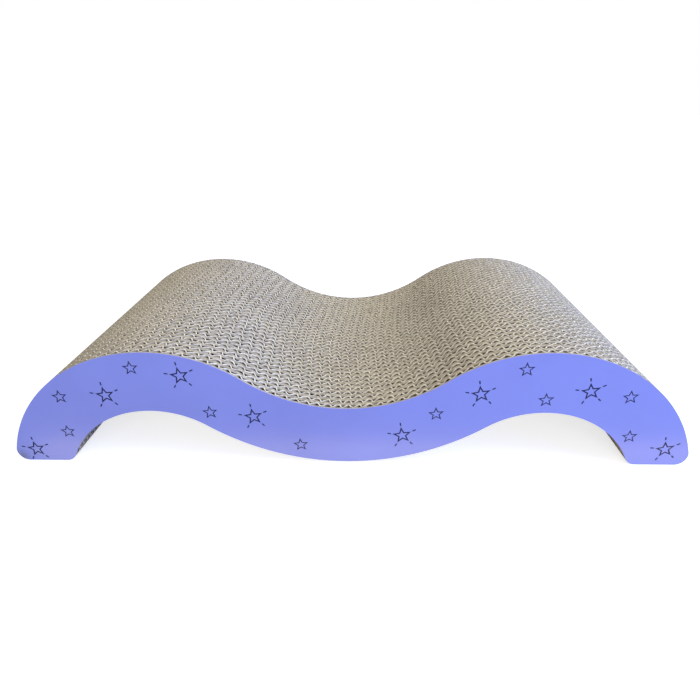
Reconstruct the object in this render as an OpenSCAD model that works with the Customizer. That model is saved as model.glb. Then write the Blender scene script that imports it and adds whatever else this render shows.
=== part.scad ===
/* [Wave] */
// Middle of the scratcher to the centre line of each hump
hump_x = 139.5; // [130:0.5:150]
// Height of the humps, which is the height of the whole scratcher
hump_top = 92; // [86:0.5:100]
// Radius of the rounded top of each hump
hump_r = 115.5; // [108:0.5:122]
// Height of the seat between the humps, at its lowest
seat_low = 47.5; // [44:0.5:56]
// Middle of the scratcher to the centre line of each arch
arch_x = 141.5; // [134:0.5:148]
// Height of the arch under each hump
arch_top = 45; // [36:0.5:50]
// Radius of each arch
arch_r = 71.5; // [62:0.5:75]
// Clearance between the sagging middle and the floor
sag_clear = 1; // [0.5:0.5:4]
// Radius of the outer corner of each foot
outer_corner_r = 8.5; // [5:0.5:13]
// Radius of the inner corner of each foot
inner_corner_r = 8.5; // [4:0.5:18]

/* [Corrugated board] */
// How many boards are glued face to face
board_count = 37; // [8:1:37]
// Thickness of one board over both liners
board_t = 6.05; // [4:0.05:8]

/* [Printed sheets] */
// Thickness of the printed sheet on each outer face
sheet_t = 0.5; // [0.3:0.05:1]

/* [Hidden] */
// Neighbouring arcs of the outline run into each other by this much, so that they meet cleanly
arc_lap = 0.01;
// Extra length that a cut or a strip runs past the outline
overrun = 2;
$fn = 240;

board_kraft = [0.72, 0.64, 0.52];
sheet_lilac = [0.54, 0.57, 0.95];

// Radius of the circle on the middle line that touches one to the side, which is lower than it by rise
function touching_r(x, rise, r) = (pow(x, 2) + pow(rise, 2) - pow(r, 2)) / (2 * (r - rise));

// The hump and arch circles, and the circles of the seat and the sag that touch them
hump_z = hump_top - hump_r;
arch_z = arch_top - arch_r;
seat_r = touching_r(hump_x, seat_low - hump_z, hump_r - arc_lap);
seat_z = seat_low + seat_r;
sag_r = touching_r(arch_x, sag_clear - arch_z, arch_r - arc_lap);
sag_z = sag_clear + sag_r;

// The corner circles dip into the floor and lap over the hump circle or the arch circle
outer_z = outer_corner_r - arc_lap;
inner_z = inner_corner_r - arc_lap;
outer_x = hump_x + sqrt(pow(hump_r - outer_z, 2) - pow(outer_z - hump_z, 2));
inner_x = arch_x + sqrt(pow(arch_r + inner_z, 2) - pow(inner_z - arch_z, 2));

reach = hump_x + hump_r + overrun;
stack_t = board_count * board_t;
front_y = -stack_t / 2;

function board_name(i) = str("board_", i < 9 ? "0" : "", i + 1);

module disc(x, z, r) {
    translate([x, z]) circle(r);
}

module discs(x, z, r) {
    disc(x, z, r);
    disc(-x, z, r);
}

function backwards(list) = [for (i = [len(list) - 1 : -1 : 0]) list[i]];

// Points of the right side, followed by their mirror images
function both_sides(right) = concat(right, [for (p = backwards(right)) [-p[0], p[1]]]);

// The point a distance further along the line from one point to another
function beyond(from, to, distance) = to + distance * (to - from) / norm(to - from);

module below_top() {
    difference() {
        union() {
            discs(hump_x, hump_z, hump_r);
            polygon([[0, seat_z], [-hump_x, hump_z], [hump_x, hump_z]]);
        }
        disc(0, seat_z, seat_r);
    }
}

module above_underside() {
    top = sag_z + overrun;
    difference() {
        union() {
            disc(0, sag_z, sag_r);
            polygon([
                [-reach, arch_z],
                [-arch_x, arch_z],
                [0, sag_z],
                [arch_x, arch_z],
                [reach, arch_z],
                [reach, top],
                [-reach, top]
            ]);
        }
        discs(arch_x, arch_z, arch_r);
    }
}

// What the rounded corners of both feet leave
module within_corners() {
    outer = [outer_x, outer_z];
    inner = [inner_x, inner_z];
    outer_way = beyond([hump_x, hump_z], outer, outer_corner_r + overrun);
    inner_way = beyond(inner, [arch_x, arch_z], overrun - arch_r);
    polygon(both_sides([
        [inner_way[0], -overrun],
        inner_way,
        inner,
        [inner_x, -overrun],
        [outer_x, -overrun],
        outer,
        outer_way,
        [reach, outer_way[1]],
        [reach, hump_top + overrun]
    ]));
    discs(outer_x, outer_z, outer_corner_r);
    discs(inner_x, inner_z, inner_corner_r);
}

module wave_outline() {
    intersection() {
        below_top();
        above_underside();
        within_corners();
        translate([-reach, 0]) square([2 * reach, hump_top + overrun]);
    }
}

// The outline made solid from one depth to another
module wave_slab(from_y, thickness) {
    translate([0, from_y + thickness, 0])
        rotate([90, 0, 0])
            linear_extrude(thickness)
                wave_outline();
}

// One die-cut board
module board(i) {
    color(board_kraft) wave_slab(front_y + i * board_t, board_t);
}

module front_sheet() {
    color(sheet_lilac) wave_slab(front_y - sheet_t, sheet_t);
}

module back_sheet() {
    color(sheet_lilac) wave_slab(front_y + stack_t, sheet_t);
}

front_sheet();
back_sheet();
for (i = [0 : board_count - 1]) {
    board(i);
}
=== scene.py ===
import math
import random

import bmesh
import bpy
from mathutils import Matrix, Vector, noise


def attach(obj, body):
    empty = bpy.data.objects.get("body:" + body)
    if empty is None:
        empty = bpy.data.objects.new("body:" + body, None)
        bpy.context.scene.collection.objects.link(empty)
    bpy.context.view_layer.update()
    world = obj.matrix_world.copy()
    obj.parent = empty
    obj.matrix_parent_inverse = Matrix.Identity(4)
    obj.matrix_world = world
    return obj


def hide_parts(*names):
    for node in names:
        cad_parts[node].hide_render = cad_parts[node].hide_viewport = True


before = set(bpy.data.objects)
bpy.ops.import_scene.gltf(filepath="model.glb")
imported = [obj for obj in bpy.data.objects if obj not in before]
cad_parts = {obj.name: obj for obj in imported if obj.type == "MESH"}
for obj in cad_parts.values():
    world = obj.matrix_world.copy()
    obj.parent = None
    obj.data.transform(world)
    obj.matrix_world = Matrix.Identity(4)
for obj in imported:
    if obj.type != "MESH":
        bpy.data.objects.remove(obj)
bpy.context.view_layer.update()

print("frame loaded:", len(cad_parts), "nodes")

# camera, as the photo was taken from a little above and in front
view = {
    "place": (0.0139, -0.4191, 0.2463),
    "aimDown": 26.36,
    "aimLeft": 1.88,
    "tilt": 0.75,
    "lens": 26.27,
}


def placeCamera():
    lens = bpy.data.cameras.new("camera")
    lens.lens = view["lens"]
    lens.sensor_width = 36
    lens.clip_start = 0.01
    camera = bpy.data.objects.new("camera", lens)
    bpy.context.scene.collection.objects.link(camera)
    camera.matrix_world = (
        Matrix.Translation(view["place"])
        @ Matrix.Rotation(math.radians(view["aimLeft"]), 4, "Z")
        @ Matrix.Rotation(math.radians(90 - view["aimDown"]), 4, "X")
        @ Matrix.Rotation(math.radians(-view["tilt"]), 4, "Z")
    )
    bpy.context.scene.camera = camera


placeCamera()

# the wave that every board and sheet is cut to, as arcs that touch, in metres
wave = {
    "humpX": 0.1395,
    "humpTop": 0.092,
    "humpRadius": 0.1155,
    "seatLow": 0.0475,
    "archX": 0.1415,
    "archTop": 0.045,
    "archRadius": 0.0715,
    "sagClear": 0.001,
    "outerCorner": 0.0085,
    "innerCorner": 0.0085,
}


def touchingRadius(x, rise, radius):
    # of the circle on the middle line that touches one to the side, lower than it by rise
    return (x**2 + rise**2 - radius**2) / (2 * (radius - rise))


def waveArcs():
    arcs = {}
    arcs["humpZ"] = wave["humpTop"] - wave["humpRadius"]
    arcs["archZ"] = wave["archTop"] - wave["archRadius"]
    seatRise = wave["seatLow"] - arcs["humpZ"]
    sagRise = wave["sagClear"] - arcs["archZ"]
    arcs["seatRadius"] = touchingRadius(wave["humpX"], seatRise, wave["humpRadius"])
    arcs["sagRadius"] = touchingRadius(wave["archX"], sagRise, wave["archRadius"])
    arcs["seatZ"] = wave["seatLow"] + arcs["seatRadius"]
    arcs["sagZ"] = wave["sagClear"] + arcs["sagRadius"]
    toOuter = wave["humpRadius"] - wave["outerCorner"]
    toInner = wave["archRadius"] + wave["innerCorner"]
    outerRise = wave["outerCorner"] - arcs["humpZ"]
    innerRise = wave["innerCorner"] - arcs["archZ"]
    arcs["outerX"] = wave["humpX"] + math.sqrt(toOuter**2 - outerRise**2)
    arcs["innerX"] = wave["archX"] + math.sqrt(toInner**2 - innerRise**2)
    # where one arc hands over to the next
    toSeat = arcs["seatRadius"] + wave["humpRadius"]
    toSag = arcs["sagRadius"] + wave["archRadius"]
    pastHump = (arcs["outerX"] - wave["humpX"]) * wave["humpRadius"] / toOuter
    pastArch = (arcs["innerX"] - wave["archX"]) * wave["archRadius"] / toInner
    arcs["seatEnd"] = wave["humpX"] * arcs["seatRadius"] / toSeat
    arcs["sagEnd"] = wave["archX"] * arcs["sagRadius"] / toSag
    arcs["humpEnd"] = wave["humpX"] + pastHump
    arcs["archEnd"] = wave["archX"] + pastArch
    arcs["halfLength"] = arcs["outerX"] + wave["outerCorner"]
    return arcs


arcs = waveArcs()


def rise(radius, x, centre):
    return math.sqrt(max(radius**2 - (x - centre) ** 2, 0))


def topHeight(x):
    x = abs(x)
    if x < arcs["seatEnd"]:
        return arcs["seatZ"] - rise(arcs["seatRadius"], x, 0)
    if x < arcs["humpEnd"]:
        return arcs["humpZ"] + rise(wave["humpRadius"], x, wave["humpX"])
    return wave["outerCorner"] + rise(wave["outerCorner"], x, arcs["outerX"])


def undersideHeight(x):
    x = abs(x)
    if x < arcs["sagEnd"]:
        return arcs["sagZ"] - rise(arcs["sagRadius"], x, 0)
    if x < arcs["archEnd"]:
        return arcs["archZ"] + rise(wave["archRadius"], x, wave["archX"])
    if x < arcs["innerX"]:
        return wave["innerCorner"] - rise(wave["innerCorner"], x, arcs["innerX"])
    if x < arcs["outerX"]:
        return 0
    return wave["outerCorner"] - rise(wave["outerCorner"], x, arcs["outerX"])


def alongLength(share):
    # columns crowd towards the ends, where the corners are tight
    share = max(-1, min(1, share))
    return math.copysign(arcs["halfLength"] * (1 - (1 - abs(share)) ** 2), share)


# node materials
def newMaterial(name):
    material = bpy.data.materials.new(name)
    material.use_nodes = True
    nodes = material.node_tree.nodes
    return material, nodes, material.node_tree.links, nodes["Principled BSDF"]


def noisePattern(nodes, links, scale, stretch=(1, 1, 1), **inputs):
    # noise on Object coordinates, which can be stretched along an axis
    coordinates = nodes.new("ShaderNodeTexCoord")
    mapping = nodes.new("ShaderNodeMapping")
    mapping.inputs["Scale"].default_value = stretch
    pattern = nodes.new("ShaderNodeTexNoise")
    pattern.inputs["Scale"].default_value = scale
    for socket, value in inputs.items():
        pattern.inputs[socket].default_value = value
    links.new(coordinates.outputs["Object"], mapping.inputs["Vector"])
    links.new(mapping.outputs["Vector"], pattern.inputs["Vector"])
    return pattern.outputs[0]


def colourRamp(nodes, links, value, stops):
    ramp = nodes.new("ShaderNodeValToRGB")
    elements = ramp.color_ramp.elements
    while len(elements) < len(stops):
        elements.new(0.5)
    for element, (place, colour) in zip(elements, stops):
        element.position = place
        element.color = (*colour, 1)
    links.new(value, ramp.inputs["Fac"])
    return ramp.outputs["Color"]


def mixColours(nodes, links, blend, amount, first, second):
    mix = nodes.new("ShaderNodeMix")
    mix.data_type = "RGBA"
    mix.blend_type = blend
    if isinstance(amount, bpy.types.NodeSocket):
        links.new(amount, mix.inputs[0])
    else:
        mix.inputs[0].default_value = amount
    links.new(first, mix.inputs[6])
    links.new(second, mix.inputs[7])
    return mix.outputs[2]


def addBump(nodes, links, shader, height, strength, distance):
    bump = nodes.new("ShaderNodeBump")
    bump.inputs["Strength"].default_value = strength
    bump.inputs["Distance"].default_value = distance
    links.new(height, bump.inputs["Height"])
    links.new(bump.outputs["Normal"], shader.inputs["Normal"])


white = (1, 1, 1)
black = (0, 0, 0)

kraft = {
    "dark": (0.40, 0.355, 0.28),
    "light": (0.68, 0.62, 0.52),
    "cutDark": (0.605, 0.571, 0.502),
    "cutLight": (0.81, 0.772, 0.70),
    "frayed": (0.80, 0.78, 0.75),
    "shallow": (0.84, 0.82, 0.79),
    # the painted shade deep in the flutes, nearly black
    "deep": (0.05, 0.042, 0.034),
    "spotDark": (0.70, 0.695, 0.69),
    "spotLight": (1.08, 1.08, 1.08),
    "cloudDark": (0.86, 0.86, 0.88),
    "fibreScale": 900,
    "fibreStretch": (1, 1, 0.25),
    "cloudScale": 14,
    "spotScale": 400,
    "shallowAt": 0.17,
    "deepAt": 0.26,
    "roughness": 0.85,
    "cutRoughness": 0.95,
    "shine": 0.25,
    "bumpStrength": 0.35,
    "bumpDistance": 0.0002,
}


def kraftPaper(name, dark, light, rough, shaded):
    # shaded is 1 for the faces of the paper, which take the cloud and the painted shade in the flutes,
    # and 0 for its cut edge
    material, nodes, links, shader = newMaterial(name)
    fibre = noisePattern(nodes, links, kraft["fibreScale"], kraft["fibreStretch"],
                         Detail=6, Roughness=0.7)
    base = colourRamp(nodes, links, fibre, [(0.3, dark), (0.7, light)])
    cloud = noisePattern(nodes, links, kraft["cloudScale"], Detail=3)
    shade = colourRamp(nodes, links, cloud, [(0.35, kraft["cloudDark"]), (0.65, white)])
    base = mixColours(nodes, links, "MULTIPLY", shaded, base, shade)
    # the paper is worn unevenly, in spots of a few millimetres
    spots = noisePattern(nodes, links, kraft["spotScale"], Detail=2)
    wear = colourRamp(nodes, links, spots, [(0.36, kraft["spotDark"]), (0.60, kraft["spotLight"])])
    base = mixColours(nodes, links, "MULTIPLY", 1, base, wear)
    # it is frayed where it is cut; further into the flutes a painted shade makes it nearly black
    inward = nodes.new("ShaderNodeAttribute")
    inward.attribute_name = "inward"
    depths = [
        (0, kraft["frayed"]),
        (kraft["shallowAt"], kraft["shallow"]),
        (kraft["deepAt"], kraft["deep"]),
    ]
    paintedShade = colourRamp(nodes, links, inward.outputs["Fac"], depths)
    base = mixColours(nodes, links, "MULTIPLY", shaded, base, paintedShade)
    links.new(base, shader.inputs["Base Color"])
    shader.inputs["Roughness"].default_value = rough
    shader.inputs["Specular IOR Level"].default_value = kraft["shine"]
    addBump(nodes, links, shader, fibre, kraft["bumpStrength"], kraft["bumpDistance"])
    return material


boardFace = kraftPaper("boardFace", kraft["dark"], kraft["light"], kraft["roughness"], 1)
cutEdge = kraftPaper("cutEdge", kraft["cutDark"], kraft["cutLight"], kraft["cutRoughness"], 0)

printed = {
    "lilac": (0.215, 0.257, 0.69),
    "lilacDeep": (0.194, 0.231, 0.625),
    "edge": (0.36, 0.36, 0.60),
    "ink": (0.008, 0.014, 0.085),
    "roughness": 0.42,
    "edgeRoughness": 0.8,
    "inkRoughness": 0.5,
    "shine": 0.4,
    "cloudScale": 9,
    "cornerNoiseScale": 420,
    "grainScale": 1600,
    "bumpStrength": 0.12,
    "bumpDistance": 0.0001,
    # colour of the darker patches at the left foot's outer corner
    "cornerTint": (0.13, 0.15, 0.26),
    "cornerPlace": (-0.2505, -0.1129, 0.0005),
    "cornerReach": 0.014,
}


def nearPlace(nodes, links, place, reach):
    # 1 at a place on the object, fading to 0 at some distance from it
    coordinates = nodes.new("ShaderNodeTexCoord")
    mapping = nodes.new("ShaderNodeMapping")
    mapping.inputs["Location"].default_value = [-value / reach for value in place]
    mapping.inputs["Scale"].default_value = [1 / reach] * 3
    gradient = nodes.new("ShaderNodeTexGradient")
    gradient.gradient_type = "SPHERICAL"
    links.new(coordinates.outputs["Object"], mapping.inputs["Vector"])
    links.new(mapping.outputs["Vector"], gradient.inputs["Vector"])
    return gradient.outputs["Fac"]


def timesValue(nodes, links, first, second):
    product = nodes.new("ShaderNodeMath")
    product.operation = "MULTIPLY"
    links.new(first, product.inputs[0])
    links.new(second, product.inputs[1])
    return product.outputs[0]


def printedPaper(name, deep, plain, rough):
    material, nodes, links, shader = newMaterial(name)
    cloud = noisePattern(nodes, links, printed["cloudScale"], Detail=4, Roughness=0.55)
    base = colourRamp(nodes, links, cloud, [(0.3, deep), (0.62, plain)])
    # the outer corner of the left foot is darker, in grey-blue patches
    near = nearPlace(nodes, links, printed["cornerPlace"], printed["cornerReach"])
    cornerNoise = noisePattern(nodes, links, printed["cornerNoiseScale"], Detail=4)
    cornerMask = timesValue(nodes, links, near, cornerNoise)
    amount = colourRamp(nodes, links, cornerMask, [(0.08, black), (0.42, white)])
    cornerTint = nodes.new("ShaderNodeRGB")
    cornerTint.outputs[0].default_value = (*printed["cornerTint"], 1)
    base = mixColours(nodes, links, "MIX", amount, base, cornerTint.outputs[0])
    links.new(base, shader.inputs["Base Color"])
    grain = noisePattern(nodes, links, printed["grainScale"], Detail=3)
    shader.inputs["Roughness"].default_value = rough
    shader.inputs["Specular IOR Level"].default_value = printed["shine"]
    addBump(nodes, links, shader, grain, printed["bumpStrength"], printed["bumpDistance"])
    return material


lilacPrint = printedPaper("lilacPrint", printed["lilacDeep"], printed["lilac"], printed["roughness"])
sheetEdge = printedPaper("sheetEdge", printed["edge"], printed["edge"], printed["edgeRoughness"])
navyInk = printedPaper("navyInk", printed["ink"], printed["ink"], printed["inkRoughness"])
print("materials made")


def finishPiece(bm, name, materials, node):
    bmesh.ops.recalc_face_normals(bm, faces=bm.faces)
    mesh = bpy.data.meshes.new(name)
    bm.to_mesh(mesh)
    bm.free()
    for material in materials:
        mesh.materials.append(material)
    piece = bpy.data.objects.new(name, mesh)
    bpy.context.scene.collection.objects.link(piece)
    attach(piece, "root")
    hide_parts(node)


def cutSlab(bm, fromY, thickness, columns):
    # a flat sheet cut to the wave, from one depth to another; returns its rim faces
    grid = bmesh.ops.create_grid(bm, x_segments=columns, y_segments=1, size=1)
    for vert in grid["verts"]:
        x = alongLength(vert.co.x)
        z = topHeight(x) if vert.co.y > 0 else undersideHeight(x)
        vert.co = (x, fromY, z)
    front = list({face for vert in grid["verts"] for face in vert.link_faces})
    wall = bmesh.ops.extrude_face_region(bm, geom=front, use_keep_orig=True)
    back = [item for item in wall["geom"] if isinstance(item, bmesh.types.BMVert)]
    bmesh.ops.translate(bm, verts=back, vec=(0, thickness, 0))
    flat = set(front) | {item for item in wall["geom"] if isinstance(item, bmesh.types.BMFace)}
    return [face for vert in grid["verts"] for face in vert.link_faces if face not in flat]


# corrugated boards
board = {
    "count": 37,
    "thick": 0.00605,
    "liner": 0.00122,
    "medium": 0.0009,
    "glue": 0.00003,
    "pitch": 0.00766,
    "drift": (-0.00037, 0.00047),
    "turnBoard": 17,
    "driftSpread": 0.0009,
    "lean": -0.45,
    "pressed": 1.0,
    "wander": 0.2,
    "wanderScale": 25,
    "wanderStep": 3.7,
    "jitter": 0.85,
    "jitterScale": 110,
    "jitterStep": 5.3,
    "jitterLayer": 4,
    "washboard": 0.00035,
    "columnsPerFlute": 14,
    "linerColumnsPerFlute": 8,
    "linerEven": 0.9,
    "crush": 0.0013,
    "crushScale": 400,
    "crushLayer": 7,
    "crushDepth": 0.003,
    "snapShare": 0.7,
    "slowSide": 0.5,
    "seed": 11,
}
stackDepth = board["count"] * board["thick"]
frontY = -stackDepth / 2
fluteCount = math.ceil(2 * arcs["halfLength"] / board["pitch"])


def fluteShifts():
    # how far each board's flutes are shifted along the length: leftwards at first, then back again
    chance = random.Random(board["seed"])
    shifts = []
    line = 0
    for number in range(board["count"]):
        shifts.append(line + board["driftSpread"] * (chance.random() - 0.5))
        line += board["drift"][0 if number < board["turnBoard"] else 1]
    return shifts


shifts = fluteShifts()


def fluteTurn(number, x):
    turn = 2 * math.pi * (x - shifts[number]) / board["pitch"]
    slow = (x * board["wanderScale"], number * board["wanderStep"], 0)
    quick = (x * board["jitterScale"], number * board["jitterStep"], board["jitterLayer"])
    return turn + board["wander"] * noise.noise(slow) + board["jitter"] * noise.noise(quick)


def fluteHeight(number, x):
    # from -1 at the front liner to 1 at the back one; the flutes rise slowly and fall fast,
    # and where the glue holds them they are pressed flat
    turn = fluteTurn(number, x)
    lift = math.sin(turn + board["lean"] * math.sin(turn))
    return math.tanh(board["pressed"] * lift) / math.tanh(board["pressed"])


def steepness(number, x):
    # 0 where the flute rises slowly, 1 where it falls fast
    return (1 - math.cos(fluteTurn(number, x))) / 2


def seamShift(seam, x):
    # at the cut edges the flutes on both sides push the glued liners back and forth
    push = 0
    if 0 < seam < board["count"]:
        for number in (seam - 1, seam):
            push += board["washboard"] * fluteHeight(number, x)
    return push


def cutHeights(x):
    # the four rows of a paper: both cut edges, and a little way in from each
    top, under = topHeight(x), undersideHeight(x)
    depth = min(board["crushDepth"], (top - under) / 3)
    return under, under + depth, top - depth, top


cutRows = (0, 3)


def gridRow(vert):
    # a grid of four rows runs from -1 to 1
    return round((vert.co.y + 1) * 1.5)


def crushed(x, number, layer):
    return board["crush"] * noise.noise((x * board["crushScale"], number, layer))


def withinLength(x):
    return max(-arcs["halfLength"], min(arcs["halfLength"], x))


def fluteWave(bm, number, midY):
    # the fluted medium: a grid bent into flutes, its top and bottom rows cut to the wave
    height = board["thick"] - 2 * board["liner"] - 2 * board["glue"] - board["medium"]
    columns = fluteCount * board["columnsPerFlute"]
    grid = bmesh.ops.create_grid(bm, x_segments=columns, y_segments=3, size=1)
    for vert in grid["verts"]:
        row = gridRow(vert)
        x = vert.co.x * arcs["halfLength"]
        lift = fluteHeight(number, x)
        y = height / 2 * lift
        if row in cutRows:
            y += (seamShift(number, x) * (1 - lift) + seamShift(number + 1, x) * (1 + lift)) / 2
            x += crushed(x, number, row + board["crushLayer"])
            y += crushed(x, number, row) * (1 - abs(lift))
        x = withinLength(x)
        vert.co = (x, midY + y - board["medium"] / 2, cutHeights(x)[row])
    sheet = list({face for vert in grid["verts"] for face in vert.link_faces})
    bm.normal_update()
    bmesh.ops.solidify(bm, geom=sheet, thickness=board["medium"])


def linerSheet(bm, seam, fromY, thickness):
    # a flat liner, wavy only where it is cut
    columns = fluteCount * board["linerColumnsPerFlute"]
    grid = bmesh.ops.create_grid(bm, x_segments=columns, y_segments=3, size=1)
    for vert in grid["verts"]:
        row = gridRow(vert)
        x = alongLiner(vert.co.x)
        y = seamShift(seam, x) if row in cutRows else 0
        vert.co = (x, fromY + y, cutHeights(x)[row])
    front = list({face for vert in grid["verts"] for face in vert.link_faces})
    back = bmesh.ops.extrude_face_region(bm, geom=front, use_keep_orig=True)["geom"]
    moved = [item for item in back if isinstance(item, bmesh.types.BMVert)]
    bmesh.ops.translate(bm, verts=moved, vec=(0, thickness, 0))


def alongLiner(share):
    # evenly along the length, then closer together round the end corners
    even = board["linerEven"]
    if abs(share) < even:
        return share * arcs["halfLength"]
    rest = (1 - abs(share)) / (1 - even)
    fromEnd = (1 - even) * rest * (0.5 + rest / 2)
    return math.copysign(arcs["halfLength"] * (1 - fromEnd), share)


def snapToCut(bm):
    # rim points go back on the wave, and rim faces get the cut-edge finish
    onEdge = set()
    for vert in bm.verts:
        top, under = topHeight(vert.co.x), undersideHeight(vert.co.x)
        near = min(board["snapShare"] * board["crushDepth"], (top - under) / 4)
        if top - vert.co.z < near:
            vert.co.z = top
            onEdge.add(vert)
        elif vert.co.z - under < near:
            vert.co.z = under
            onEdge.add(vert)
    for face in bm.faces:
        face.material_index = 1 if all(vert in onEdge for vert in face.verts) else 0


def markInward(bm, number):
    # how far each point lies in from the nearest cut edge, for the painted shade in the flutes; light
    # reaches further in along the slow side of each flute, so the painted shade starts deeper there
    inward = bm.verts.layers.float.new("inward")
    for vert in bm.verts:
        depth = min(topHeight(vert.co.x) - vert.co.z, vert.co.z - undersideHeight(vert.co.x))
        share = board["slowSide"] + (1 - board["slowSide"]) * steepness(number, vert.co.x)
        vert[inward] = max(0, min(1, share * depth / board["crushDepth"]))


def makeBoards():
    for number in range(board["count"]):
        bm = bmesh.new()
        startY = frontY + number * board["thick"]
        fluteWave(bm, number, startY + board["thick"] / 2)
        snapToCut(bm)
        linerSheet(bm, number, startY, board["liner"])
        linerSheet(bm, number + 1, startY + board["thick"] - board["liner"], board["liner"])
        markInward(bm, number)
        finishPiece(bm, f"boardPaper{number + 1:02d}", [boardFace, cutEdge],
                    f"board_{number + 1:02d}")


makeBoards()
print("boards made:", board["count"])

# printed sheets and their stars, laid out in metres from the middle of the foot line
sheet = {
    "thick": 0.0005,
    "columns": 400,
    "proud": 0.00004,
    "points": 5,
    "bigStroke": 0.00095,
    "smallStroke": 0.0007,
    "bigRadius": 0.0072,
    "smallRadius": 0.0059,
    "waist": 0.43,
    "dashFrom": 0.0083,
    "dashLong": 0.0026,
    "bigStars": [(-0.2345, 0.0105, 6), (-0.171, 0.058, 7), (-0.115, 0.074, 8), (-0.0665, 0.0405, 8),
                 (0.041, 0.025, 9), (0.0945, 0.060, 10), (0.1695, 0.0625, 11), (0.232, 0.014, 11)],
    "smallStars": [(-0.2045, 0.0565, 3), (-0.206, 0.0265, 2), (-0.1485, 0.080, 2), (-0.0975, 0.044, 4),
                   (-0.0335, 0.016, 4), (0.0645, 0.0435, 5), (0.1235, 0.0795, 5), (0.140, 0.0555, 5),
                   (0.1975, 0.058, 6), (0.204, 0.025, 6)],
}


def inkStar(bm, radius, stroke, place):
    # an outline star: a disc with every second corner drawn in, inset, its middle taken out
    count = 2 * sheet["points"]
    disc = bmesh.ops.create_circle(bm, cap_ends=True, segments=count, radius=radius)
    corners = sorted(disc["verts"], key=lambda vert: math.atan2(vert.co.x, vert.co.y))
    first = max(range(count), key=lambda i: corners[i].co.y)
    for i in range(1, count, 2):
        corners[(first + i) % count].co *= sheet["waist"]
    middle = list(disc["verts"][0].link_faces)
    inset = bmesh.ops.inset_region(bm, faces=middle, thickness=stroke,
                                   use_boundary=True, use_even_offset=True)
    rim = inset["faces"]
    bmesh.ops.delete(bm, geom=middle, context="FACES")
    raised = bmesh.ops.extrude_face_region(bm, geom=rim, use_keep_orig=True)
    lifted = [item for item in raised["geom"] if isinstance(item, bmesh.types.BMVert)]
    bmesh.ops.translate(bm, verts=lifted, vec=(0, 0, 2 * sheet["proud"]))
    verts = set(lifted) | {vert for face in rim for vert in face.verts}
    bmesh.ops.transform(bm, matrix=place, verts=list(verts))


def inkDash(bm, angle, place):
    middle = sheet["dashFrom"] + sheet["dashLong"] / 2
    size = Matrix.Diagonal((sheet["bigStroke"], sheet["dashLong"], 2 * sheet["proud"], 1))
    along = Matrix.Rotation(angle, 4, "Z") @ Matrix.Translation((0, middle, sheet["proud"]))
    bmesh.ops.create_cube(bm, size=1, matrix=place @ along @ size)


def makeSheet(name, node, side):
    # side is -1 for the front sheet and 1 for the back one
    bm = bmesh.new()
    inner = side * stackDepth / 2
    outer = inner + side * sheet["thick"]
    rims = cutSlab(bm, inner, side * sheet["thick"], sheet["columns"])
    for face in rims:
        face.material_index = 1
    plain = set(bm.faces)
    # stars face outwards, half sunk into the sheet
    facing = Matrix.Translation((0, outer - side * sheet["proud"], 0))
    if side > 0:
        facing = facing @ Matrix.Rotation(math.pi, 4, "Z")
    facing = facing @ Matrix.Rotation(math.pi / 2, 4, "X")
    for kind in ("big", "small"):
        for x, z, turn in sheet[kind + "Stars"]:
            turned = Matrix.Rotation(math.radians(turn), 4, "Z")
            place = facing @ Matrix.Translation((x, z, 0)) @ turned
            inkStar(bm, sheet[kind + "Radius"], sheet[kind + "Stroke"], place)
            if kind == "big":
                for i in range(sheet["points"]):
                    inkDash(bm, i * math.tau / sheet["points"], place)
    for face in bm.faces:
        if face not in plain:
            face.material_index = 2
    finishPiece(bm, name, [lilacPrint, sheetEdge, navyInk], node)


makeSheet("frontPrint", "front_sheet", -1)
makeSheet("backPrint", "back_sheet", 1)
print("printed sheets made")

# floor, world and lamps
studio = {
    "floorSize": 12,
    "floorBounce": (0.42, 0.42, 0.42),
    "floorSeen": (0.52, 0.55, 0.61),
    "floorLift": 0.72,
    "world": 0.67,
    "worldColour": (1.0, 0.95, 0.85),
    "lamps": {
        "key": {"power": 18, "place": (1.2, -0.3, 1.2), "aim": (0, 0, 0.04),
                "sides": (0.9, 0.9), "colour": (0.95, 1.0, 0.95)},
        "front": {"power": 10.5, "place": (0.1, -1.6, 0.7), "aim": (0, 0, 0.04),
                  "sides": (0.9, 0.9), "colour": (1.0, 0.96, 1.0)},
        "side": {"power": 27, "place": (1.5, -0.6, 0.35), "aim": (0, 0, 0.04),
                 "sides": (0.9, 0.9), "colour": (0.03, 0.25, 1.0)},
        # the glow off a warm floor just in front
        "low": {"power": 0.029, "place": (0.02, -0.132, 0.003), "aim": (0.02, 0, 0.003),
                "sides": (0.52, 0.004), "colour": (1.0, 0.7, 0.13)},
    },
}


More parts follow.
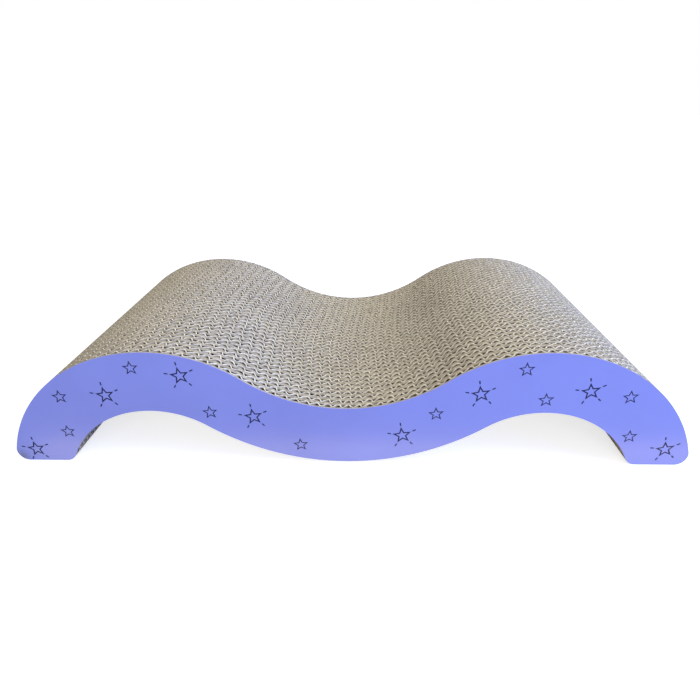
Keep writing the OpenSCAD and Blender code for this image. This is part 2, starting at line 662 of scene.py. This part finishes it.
def makeFloor():
    bm = bmesh.new()
    bmesh.ops.create_grid(bm, x_segments=1, y_segments=1, size=studio["floorSize"] / 2)
    mesh = bpy.data.meshes.new("floor")
    bm.to_mesh(mesh)
    bm.free()
    # the camera sees a white floor with the shadow on it; light bounces off a greyer one
    material, nodes, links, shader = newMaterial("floorPaper")
    shader.inputs["Base Color"].default_value = (*studio["floorSeen"], 1)
    shader.inputs["Roughness"].default_value = 1
    shader.inputs["Specular IOR Level"].default_value = 0
    shader.inputs["Emission Color"].default_value = (*white, 1)
    shader.inputs["Emission Strength"].default_value = studio["floorLift"]
    bounce = nodes.new("ShaderNodeBsdfDiffuse")
    bounce.inputs["Color"].default_value = (*studio["floorBounce"], 1)
    path = nodes.new("ShaderNodeLightPath")
    mix = nodes.new("ShaderNodeMixShader")
    links.new(path.outputs["Is Camera Ray"], mix.inputs["Fac"])
    links.new(bounce.outputs[0], mix.inputs[1])
    links.new(shader.outputs[0], mix.inputs[2])
    links.new(mix.outputs[0], nodes["Material Output"].inputs["Surface"])
    mesh.materials.append(material)
    floor = bpy.data.objects.new("floor", mesh)
    bpy.context.scene.collection.objects.link(floor)


def areaLamp(name, lamp):
    light = bpy.data.lights.new(name, "AREA")
    light.energy = lamp["power"]
    light.shape = "RECTANGLE"
    light.size, light.size_y = lamp["sides"]
    light.color = lamp["colour"]
    holder = bpy.data.objects.new(name, light)
    bpy.context.scene.collection.objects.link(holder)
    holder.location = lamp["place"]
    towards = Vector(lamp["aim"]) - Vector(lamp["place"])
    holder.rotation_euler = towards.to_track_quat("-Z", "Y").to_euler()
    holder.visible_camera = False


def lightStudio():
    world = bpy.data.worlds.new("studio")
    bpy.context.scene.world = world
    world.use_nodes = True
    nodes, links = world.node_tree.nodes, world.node_tree.links
    soft = nodes["Background"]
    soft.inputs["Color"].default_value = (*studio["worldColour"], 1)
    soft.inputs["Strength"].default_value = studio["world"]
    plain = nodes.new("ShaderNodeBackground")
    plain.inputs["Color"].default_value = (*white, 1)
    mix = nodes.new("ShaderNodeMixShader")
    path = nodes.new("ShaderNodeLightPath")
    links.new(path.outputs["Is Camera Ray"], mix.inputs["Fac"])
    links.new(soft.outputs[0], mix.inputs[1])
    links.new(plain.outputs[0], mix.inputs[2])
    links.new(mix.outputs[0], nodes["World Output"].inputs["Surface"])
    for name, lamp in studio["lamps"].items():
        areaLamp(name + "Lamp", lamp)


makeFloor()
lightStudio()
bpy.context.scene.view_settings.view_transform = "Standard"
print("studio lit")
